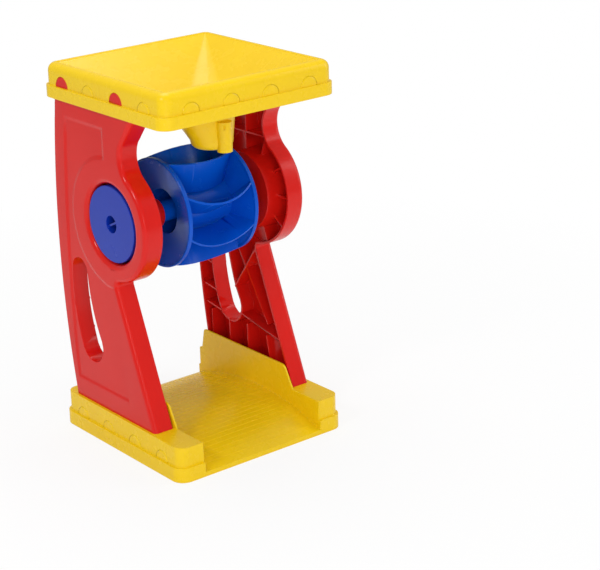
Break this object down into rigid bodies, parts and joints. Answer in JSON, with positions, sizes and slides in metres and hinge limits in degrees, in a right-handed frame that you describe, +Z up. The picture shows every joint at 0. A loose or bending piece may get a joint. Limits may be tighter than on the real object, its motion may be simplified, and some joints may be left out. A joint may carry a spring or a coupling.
{
  "type": "sand wheel toy",
  "caption": "Free-standing sand wheel toy: a square hopper with a spout above a scoop wheel that turns between two ribbed side panels on a square base tray with a domed floor.",
  "frame": {"origin": "middle of the base underside, on the ground", "axes": "X along the wheel's axle, -Y to the front with the hub rings of the panels, +Z up"},
  "size_m": [0.2, 0.2, 0.372],
  "materials": {
    "yellow_plastic": "glossy injection-moulded yellow plastic",
    "red_plastic": "glossy injection-moulded red plastic",
    "blue_plastic": "glossy injection-moulded blue plastic"
  },
  "bodies": {
    "frame": {"hopper_tray": "yellow_plastic", "base_tray": "yellow_plastic", "side_panel_left": "red_plastic", "side_panel_right": "red_plastic"},
    "wheel": {"scoop_drum": "blue_plastic", "wheel_disc_left": "blue_plastic", "wheel_disc_right": "blue_plastic", "axle": "blue_plastic", "hub_cap_left": "blue_plastic", "hub_cap_right": "blue_plastic"}
  },
  "joints": [
    {"name": "wheel_spin", "type": "hinge", "parent": "frame", "child": "wheel", "pos_m": [0, 0.003, 0.23], "axis": [1, 0, 0], "continuous": true}
  ]
}
